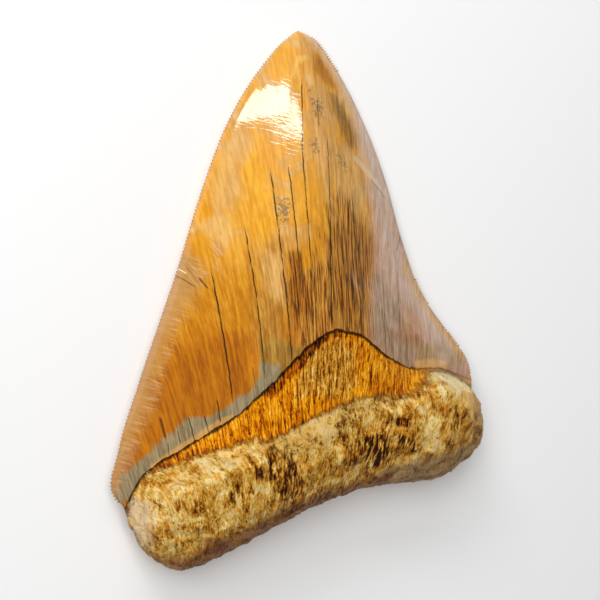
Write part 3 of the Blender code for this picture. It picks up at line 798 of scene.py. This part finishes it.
class Finish:
    """A material's nodes, put together in small steps."""

    def __init__(self, name):
        self.material = bpy.data.materials.new(name)
        self.material.use_nodes = True
        self.tree = self.material.node_tree
        self.shader = self.tree.nodes["Principled BSDF"]

    def settle(self, **values):
        """Values that are the same all over the surface."""
        for name, value in values.items():
            self.shader.inputs[name.replace("_", " ")].default_value = value

    def put(self, socket, value):
        if isinstance(value, bpy.types.NodeSocket):
            self.tree.links.new(value, socket)
        else:
            socket.default_value = value

    def maths(self, operation, *values, clamp=False):
        node = self.tree.nodes.new("ShaderNodeMath")
        node.operation, node.use_clamp = operation, clamp
        for socket, value in zip(node.inputs, values):
            self.put(socket, value)
        return node.outputs[0]

    def fade(self, value, low, high):
        node = self.tree.nodes.new("ShaderNodeMapRange")
        node.interpolation_type = "SMOOTHSTEP"
        for name, item in (("Value", value), ("From Min", low), ("From Max", high)):
            self.put(node.inputs[name], item)
        return node.outputs["Result"]

    def mix(self, share, first, second, blend="MIX"):
        node = self.tree.nodes.new("ShaderNodeMix")
        node.data_type, node.blend_type = "RGBA", blend
        for index, item in ((0, share), (6, first), (7, second)):
            self.put(node.inputs[index], item)
        return node.outputs[2]

    def times(self, first, second, clamp=False):
        return self.maths("MULTIPLY", first, second, clamp=clamp)

    def between(self, share, first, second):
        """A plain number between two others. Numbers aren't mixed as colours."""
        node = self.tree.nodes.new("ShaderNodeMix")
        for index, item in ((0, share), (2, first), (3, second)):
            self.put(node.inputs[index], item)
        return node.outputs[0]

    def measure(self, name):
        node = self.tree.nodes.new("ShaderNodeAttribute")
        node.attribute_name = name
        return node.outputs["Fac"]

    def where(self, name):
        node = self.tree.nodes.new("ShaderNodeAttribute")
        node.attribute_name = name
        return node.outputs["Vector"]

    def scaled(self, vector, scale, offset=(0.0, 0.0, 0.0)):
        node = self.tree.nodes.new("ShaderNodeVectorMath")
        node.operation = "MULTIPLY_ADD"
        for socket, item in zip(node.inputs, (vector, scale, offset)):
            self.put(socket, item)
        return node.outputs[0]

    def clouds(self, vector, scale, detail=2.0, roughness=0.5, twist=0.0, offset=(0.0, 0.0, 0.0)):
        node = self.tree.nodes.new("ShaderNodeTexNoise")
        self.put(node.inputs["Vector"], self.scaled(vector, scale, offset))
        settings = {"Scale": 1.0, "Detail": detail, "Roughness": roughness, "Distortion": twist}
        for name, item in settings.items():
            node.inputs[name].default_value = item
        return node.outputs["Fac"]

    def cells(self, vector, scale):
        node = self.tree.nodes.new("ShaderNodeTexVoronoi")
        self.put(node.inputs["Vector"], self.scaled(vector, scale))
        node.inputs["Scale"].default_value = 1.0
        return node.outputs["Distance"]

    def split(self, vector):
        node = self.tree.nodes.new("ShaderNodeSeparateXYZ")
        self.put(node.inputs[0], vector)
        return node.outputs

    def turned(self, vector, first, second):
        """The vector's plan measured along two other directions."""
        node = self.tree.nodes.new("ShaderNodeCombineXYZ")
        for index, heading in enumerate((first, second)):
            dot = self.tree.nodes.new("ShaderNodeVectorMath")
            dot.operation = "DOT_PRODUCT"
            self.put(dot.inputs[0], vector)
            dot.inputs[1].default_value = (*heading, 0.0)
            self.put(node.inputs[index], dot.outputs["Value"])
        return node.outputs[0]

    def bump(self, height, strength, distance):
        node = self.tree.nodes.new("ShaderNodeBump")
        self.put(node.inputs["Height"], height)
        node.inputs["Strength"].default_value, node.inputs["Distance"].default_value = strength, distance
        return node.outputs["Normal"]

    def lay_patches(self, patches, colour, streaks, run):
        """Each patch laid over the colour, with ragged borders that its streaks run over."""
        for patch_name, (_, dark, light, soft, ragged, share) in patches.items():
            reach = self.maths("MULTIPLY_ADD", run, ragged * 2, self.measure(patch_name))
            cover = self.times(self.fade(reach, ragged - soft, ragged + soft), share)
            colour = self.mix(cover, colour, self.mix(streaks, tone(*dark), tone(*light)))
        return colour

    def line(self, across, along, upper, lower, width):
        """Darkness of a thin tapering line between two ends."""
        rise = lower[1] - upper[1]
        share = self.maths("DIVIDE", self.maths("SUBTRACT", along, upper[1]), rise, clamp=True)
        centre = self.maths("MULTIPLY_ADD", share, lower[0] - upper[0], upper[0])
        taper = self.times(self.times(share, self.maths("SUBTRACT", 1.0, share)), 9.0, clamp=True)
        off = self.maths("ABSOLUTE", self.maths("SUBTRACT", across, centre))
        width_here = self.times(taper, width + LINE_BLUR)
        return self.fade(self.maths("SUBTRACT", off, width_here), 0.0, -LINE_BLUR)

    def ramp(self, value, stops):
        node = self.tree.nodes.new("ShaderNodeValToRGB")
        self.put(node.inputs[0], value)
        elements = node.color_ramp.elements
        while len(elements) < len(stops):
            elements.new(0.5)
        for element, (place, colour) in zip(elements, stops):
            element.position, element.color = place, tone(*colour)
        return node.outputs[0]

    def spread(self, value, contrast, middle=0.5):
        """A value pushed away from one half, about a new middle."""
        return self.maths("MULTIPLY_ADD", self.maths("SUBTRACT", value, 0.5), contrast, middle)

    def blend(self, *parts):
        """The sum of several values, each with its share."""
        total = 0.0
        for value, share in parts:
            total = self.maths("MULTIPLY_ADD", value, share, total)
        return total


def make_enamel():
    finish = Finish("polished enamel")
    fade, clouds, mix, maths, times = finish.fade, finish.clouds, finish.mix, finish.maths, finish.times
    measure, between, spread, blend = finish.measure, finish.between, finish.spread, finish.blend
    fibre, place = finish.where("fibre"), finish.where("place")
    across, along, _ = finish.split(fibre)
    long_streaks = clouds(fibre, (1.5, 0.10, 1.0), 4.0, 0.6)
    short_streaks = clouds(fibre, (1.7, 0.34, 1.0), 3.0, 0.6, 0.2, (7.0, 0.0, 0.0))
    wide_streaks = clouds(fibre, (0.5, 0.06, 1.0), 3.0, 0.55, 0.0, (0.0, 5.0, 0.0))
    drift = clouds(fibre, (0.13, 0.07, 1.0), 3.0, 0.5, 0.6, (0.0, 11.0, 0.0))
    thin_run = clouds(fibre, (2.0, 0.12, 1.0), 3.0, 0.6)
    wide_run = clouds(fibre, (0.5, 0.14, 1.0), 3.0, 0.6)
    run = spread(blend((thin_run, 0.6), (wide_run, 0.4)), 1.7)

    streaks = blend((long_streaks, 0.5), (short_streaks, 0.25), (wide_streaks, 0.25))
    crisp = fade(streaks, 0.39, 0.61)
    calm = times(fade(along, 40.0, 66.0), 0.55)
    level = maths("DIVIDE", maths("MULTIPLY_ADD", maths("SUBTRACT", drift, 0.5), 24.0, along), 107.0)
    dark = finish.ramp(level, (
        (0.05, (170, 92, 0)), (0.28, (176, 98, 0)), (0.42, (190, 114, 4)), (0.56, (208, 132, 18)),
        (0.72, (206, 138, 44)), (0.86, (202, 142, 62)), (1.0, (214, 152, 66)),
    ))
    light = finish.ramp(level, (
        (0.05, (206, 124, 6)), (0.28, (214, 138, 14)), (0.42, (230, 160, 36)), (0.56, (242, 182, 70)),
        (0.72, (240, 184, 92)), (0.86, (232, 178, 100)), (1.0, (236, 186, 110)),
    ))
    colour = mix(between(calm, crisp, 0.5), dark, light)
    clouding = clouds(fibre, (0.16, 0.11, 1.0), 4.0, 0.55, 0.9, (3.0, 17.0, 0.0))
    high = fade(along, 44.0, 60.0)
    gold = times(times(fade(clouding, 0.49, 0.57), high), 0.75)
    colour = mix(gold, colour, mix(crisp, tone(226, 150, 30), tone(246, 178, 60)))
    tan = times(times(fade(clouding, 0.48, 0.40), high), 0.75)
    colour = mix(tan, colour, mix(crisp, tone(204, 150, 82), tone(236, 190, 124)))
    patches = dict(ENAMEL_PATCHES)
    flank = {"left flank": patches.pop("left flank")}
    bands = {name: patches.pop(name) for name in ("deep foot", "tan foot", "grey band", "peach left")}
    sharp = fade(clouds(fibre, (2.3, 0.10, 1.0), 4.0, 0.66, 0.2, (41.0, 0.0, 0.0)), 0.40, 0.60)
    stains = {name: patches.pop(name) for name in ("olive streaks", "stain", "stain dark", "stain core")}
    colour = finish.lay_patches(patches, colour, crisp, run)
    colour = finish.lay_patches(stains, colour, sharp, run)
    shift = clouds(fibre, (0.22, 0.12, 1.0), 4.0, 0.6, 0.8, (61.0, 0.0, 0.0))
    low = fade(along, 60.0, 40.0)
    colour = mix(times(fade(shift, 0.5, 0.66), low), colour, (0.92, 0.82, 0.7, 1.0), "MULTIPLY")
    colour = mix(times(fade(shift, 0.48, 0.34), low), colour, (1.05, 1.12, 1.2, 1.0), "MULTIPLY")
    colour = finish.lay_patches(bands, colour, crisp, run)
    turned = finish.turned(place, (0.8, -0.6), (0.6, 0.8))
    brush = clouds(turned, (0.22, 1.5, 1.0), 4.0, 0.6, 0.8)
    calm_brush = blend((brush, 0.7), (drift, 0.3))
    colour = finish.lay_patches(flank, colour, fade(calm_brush, 0.2, 0.8), brush)
    border = maths("SUBTRACT", 1.0, times(maths("ABSOLUTE", measure("left flank")), 0.5), clamp=True)
    pale_hairs = times(border, fade(brush, 0.5, 0.7))
    colour = mix(times(pale_hairs, 0.5), colour, tone(232, 188, 140))

    into = measure("speckled")
    dots = fade(maths("MULTIPLY_ADD", into, 0.06, clouds(place, (1.5, 1.25, 1.0), 3.0, 0.7)), 0.52, 0.62)
    dots = times(dots, fade(into, -1.0, 0.6))
    colour = mix(times(dots, 0.7), colour, tone(108, 100, 80))
    spot = fade(measure("white spot"), -0.8, 0.6)
    colour = mix(times(spot, 0.55), colour, tone(240, 204, 152))

    sway = clouds(fibre, (0.0, 0.35, 1.0), 3.0, 0.6)
    swayed = maths("MULTIPLY_ADD", sway, 0.6, maths("SUBTRACT", across, 0.3))
    cut = 0.0
    for upper, lower, width, share in CRACKS:
        cut = maths("MAXIMUM", cut, times(finish.line(swayed, along, upper, lower, width), share))
    on_face = fade(measure("lingual"), 0.4, 0.6)
    breaks = maths("MULTIPLY_ADD", fade(clouds(fibre, (0.2, 0.22, 1.0), 3.0, 0.6), 0.32, 0.5), 0.55, 0.45)
    cut = times(times(cut, breaks), on_face)
    # Scratches, and pale lines along the right flank's crease that are partly painted highlight.
    for start, end, width, tint, share in SCRATCHES_AND_CREASE_HIGHLIGHTS:
        run_of = Vector(end) - Vector(start)
        heading = run_of.normalized()
        local = finish.turned(place, (heading.y, -heading.x), (heading.x, heading.y))
        aside, ahead, _ = finish.split(local)
        begin = (start[0] * heading.y - start[1] * heading.x, start[0] * heading.x + start[1] * heading.y)
        wavering = maths("MULTIPLY_ADD", short_streaks, 0.5, maths("SUBTRACT", aside, 0.25))
        mark = finish.line(wavering, ahead, begin, (begin[0], begin[1] + run_of.length), width)
        mark = times(times(mark, share), on_face)
        colour = mix(mark, colour, tone(*tint))
    colour = mix(times(cut, 0.93), colour, tone(40, 24, 10))

    row = measure("row")
    # Painted shade and dark stain: a thin dark line along the foot of the enamel, where the lip steps down to
    # the bare band, thinner and fainter to the right.
    far_right = fade(across, 76.0, 88.0)
    lip_stain_and_shade = blend((run, 1.6), (far_right, 0.9), (row, 1.0))
    lip_stain_and_shade = fade(lip_stain_and_shade, CROWN_FOOT + 0.6, CROWN_FOOT - 0.2)
    lip_stain_and_shade = times(lip_stain_and_shade, maths("MULTIPLY_ADD", far_right, -0.6, 0.92))
    colour = mix(lip_stain_and_shade, colour, tone(46, 24, 10))
    points = times(fade(measure("serration"), 0.2, 0.7), 0.9)
    points = times(points, fade(measure("from left edge"), 3.0, 2.0))
    points = times(points, fade(row, LIP_FOOT + 6.0, LIP_FOOT + 12.0))
    colour = mix(points, colour, tone(150, 88, 0))

    shaded = mix(1.0, colour, (ENAMEL_SHADE, ENAMEL_SHADE, ENAMEL_SHADE, 1.0), "MULTIPLY")
    finish.put(finish.shader.inputs["Base Color"], shaded)
    finish.settle(Roughness=0.26, Specular_IOR_Level=0.1, Coat_Weight=1.0, Coat_Roughness=0.045)
    hairs = clouds(turned, (0.3, 1.1, 1.0), 1.0, 0.4, 0.8, (5.0, 0.0, 0.0))
    normal = finish.bump(blend((long_streaks, 0.12), (hairs, 0.88)), 1.0, ENAMEL_HAIRS)
    finish.put(finish.shader.inputs["Normal"], normal)
    finish.put(finish.shader.inputs["Coat Normal"], normal)
    return finish.material


def make_bone():
    finish = Finish("root bone")
    fade, clouds, mix, maths, times = finish.fade, finish.clouds, finish.mix, finish.maths, finish.times
    measure, between, spread, blend = finish.measure, finish.between, finish.spread, finish.blend
    place, fibre = finish.where("place"), finish.where("fibre")
    run = clouds(place, (0.5, 0.3, 0.4), 4.0, 0.65)
    grit = clouds(fibre, (1.8, 0.95, 1.6), 4.0, 0.66, 0.4)
    strands = clouds(fibre, (0.95, 0.24, 0.8), 3.0, 0.6, 0.4, (0.0, 21.0, 0.0))
    lumps = clouds(place, (0.28, 0.22, 0.28), 4.0, 0.6, 0.7, (9.0, 4.0, 0.0))
    broken = maths("MULTIPLY_ADD", fade(strands, 0.38, 0.6), -1.2, 1.3)
    value = blend(
        (spread(grit, 1.35, 0.60), 1.0), (spread(strands, 0.9, 0.0), 1.0), (spread(lumps, 1.8, 0.0), 1.0),
        (times(measure("root shade"), broken), 1.0),
    )
    root = finish.ramp(value, (
        (0.0, (48, 20, 8)), (0.16, (94, 48, 12)), (0.34, (156, 96, 24)), (0.52, (204, 146, 46)),
        (0.70, (234, 186, 86)), (0.86, (246, 212, 132)), (1.0, (252, 226, 164)),
    ))
    hue = clouds(place, (0.24, 0.2, 0.24), 4.0, 0.65, 0.5, (0.0, 51.0, 0.0))
    root = mix(times(fade(hue, 0.52, 0.64), 0.8), root, (0.94, 0.93, 0.92, 1.0), "MULTIPLY")
    root = mix(times(fade(hue, 0.50, 0.40), 0.8), root, (1.0, 0.80, 0.50, 1.0), "MULTIPLY")
    grain_share = fade(value, 0.25, 0.75)
    root = finish.lay_patches(ROOT_PATCHES, root, grain_share, run)
    pores = fade(finish.cells(place, (1.15, 0.62, 1.0)), 0.32, 0.10)
    some = fade(clouds(place, (0.35, 0.3, 0.3), 3.0, 0.6, 0.0, (33.0, 0.0, 0.0)), 0.45, 0.6)
    pores = times(pores, some)
    root = mix(times(pores, 0.7), root, tone(70, 38, 12))

    worms = clouds(fibre, (1.45, 0.52, 1.0), 3.0, 0.62, 0.8, (2.0, 0.0, 0.0))
    strips = clouds(fibre, (1.5, 0.13, 1.0), 3.0, 0.6, 0.2, (23.0, 0.0, 0.0))
    tone_at = blend(
        (spread(worms, 1.5, 0.57), 1.0), (spread(strips, 1.9, 0.0), 1.0), (measure("band shade"), 1.0),
    )
    band = finish.ramp(tone_at, (
        (0.0, (40, 12, 0)), (0.18, (104, 44, 0)), (0.36, (180, 90, 0)), (0.52, (224, 134, 0)),
        (0.72, (246, 166, 8)), (0.88, (252, 190, 50)), (1.0, (255, 214, 116)),
    ))
    tan_band = finish.ramp(tone_at, (
        (0.0, (34, 18, 4)), (0.2, (84, 44, 6)), (0.38, (146, 88, 16)), (0.54, (196, 132, 32)),
        (0.74, (226, 172, 70)), (1.0, (248, 214, 132)),
    ))
    reach = maths("MULTIPLY_ADD", run, 9.0, measure("tan crest"))
    band = mix(times(fade(reach, 2.5, 6.5), 0.85), band, tan_band)
    east, _, _ = finish.split(place)
    band = mix(times(fade(east, 15.0, 7.0), 0.92), band, tone(140, 100, 50))
    band = mix(times(fade(east, 93.0, 99.0), 0.85), band, tone(204, 168, 112))
    # Painted shade and dark stain: the band darkened just under the enamel's edge, less so at the right end.
    below_line = measure("above enamel edge")
    under_lip_stain_and_shade = fade(maths("MULTIPLY_ADD", run, 1.4, below_line), 0.0, 0.6)
    under_lip_stain_and_shade = times(under_lip_stain_and_shade, maths("MULTIPLY_ADD", fade(east, 86.0, 96.0), -0.6, 0.9))
    band = mix(under_lip_stain_and_shade, band, tone(38, 16, 6))
    above_root = measure("above root")
    above_root = maths("MAXIMUM", above_root, measure("over root"))
    border = maths("MULTIPLY_ADD", maths("SUBTRACT", run, 0.5), 4.0, above_root)
    share = fade(border, -0.4, 0.3)
    # Painted shade and a dark groove: a dark line where the band meets the root, in the crevice between them.
    crevice_line_and_shade = times(fade(border, -0.9, -0.1), fade(border, 1.1, 0.1))
    colour = mix(times(crevice_line_and_shade, 0.5), mix(share, root, band), tone(64, 34, 12))
    finish.put(finish.shader.inputs["Base Color"], colour)
    finish.settle(Roughness=0.45, Specular_IOR_Level=0.15)
    relief = maths("SUBTRACT", between(share, grit, worms), times(pores, 0.5))
    finish.put(finish.shader.inputs["Normal"], finish.bump(relief, 0.9, 0.0009))
    return finish.material


# ---------------------------------------------------------------- the tooth

make_enamel()
make_bone()
tooth = model_tooth()
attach(tooth, "root")
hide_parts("tooth")

# ---------------------------------------------------------------- the stage


def add_light(name, place, turn, size, power, colour=(1.0, 1.0, 1.0), shape="RECTANGLE", reflected=True):
    """A flat panel of light. Some panels only light the tooth, and others also show in its polish."""
    bpy.ops.object.light_add(type="AREA", location=place, rotation=[np.radians(angle) for angle in turn])
    light = bpy.context.object
    light.name = name
    light.data.shape = shape
    light.data.size, light.data.size_y = size
    light.data.energy = power
    light.data.color = colour
    light.visible_glossy = reflected
    return light


bpy.ops.mesh.primitive_plane_add(size=12.0, location=(0.0, 0.0, 0.0))
floor = bpy.context.object
floor.name = "floor"
pale = Finish("pale floor")
pale.settle(Base_Color=(0.9, 0.9, 0.9, 1.0), Roughness=0.9, Specular_IOR_Level=0.1)
floor.data.materials.append(pale.material)

world = bpy.data.worlds.new("studio")
world.use_nodes = True
background = world.node_tree.nodes["Background"]
background.inputs["Color"].default_value = (1.0, 1.0, 1.0, 1.0)
background.inputs["Strength"].default_value = 0.16
bpy.context.scene.world = world

add_light("key", (-0.265, 0.778, 0.50), (0.0, 0.0, -49.1), (0.673, 0.174), 4.6, shape="ELLIPSE")
add_light("near key", (0.005, 0.487, 0.50), (0.0, 0.0, -31.0), (0.426, 0.056), 0.95, shape="ELLIPSE")
add_light("overhead", (-0.32, 0.22, 0.92), (-13.0, -19.0, 0.0), (0.8, 0.8), 7.8, reflected=False)
add_light("right wall", (0.90, 0.05, 0.03), (0.0, 90.0, 0.0), (0.06, 1.4), 0.2, (1.0, 0.94, 0.93))

# The camera looks down on the domed face from the left, turned so that the root rises to the right.
CAMERA_PLACE = (-0.161155, 0.033875, 0.430645)
CAMERA_TURN = (1.3176, -22.4969, -16.5855)
CAMERA_LENS, CAMERA_SENSOR = 100.0, 36.0

bpy.ops.object.camera_add(location=CAMERA_PLACE)
camera = bpy.context.object
camera.rotation_euler = [np.radians(turn) for turn in CAMERA_TURN]
camera.data.lens = CAMERA_LENS
camera.data.sensor_width = CAMERA_SENSOR
bpy.context.scene.camera = camera
bpy.context.scene.view_settings.view_transform = "Standard"
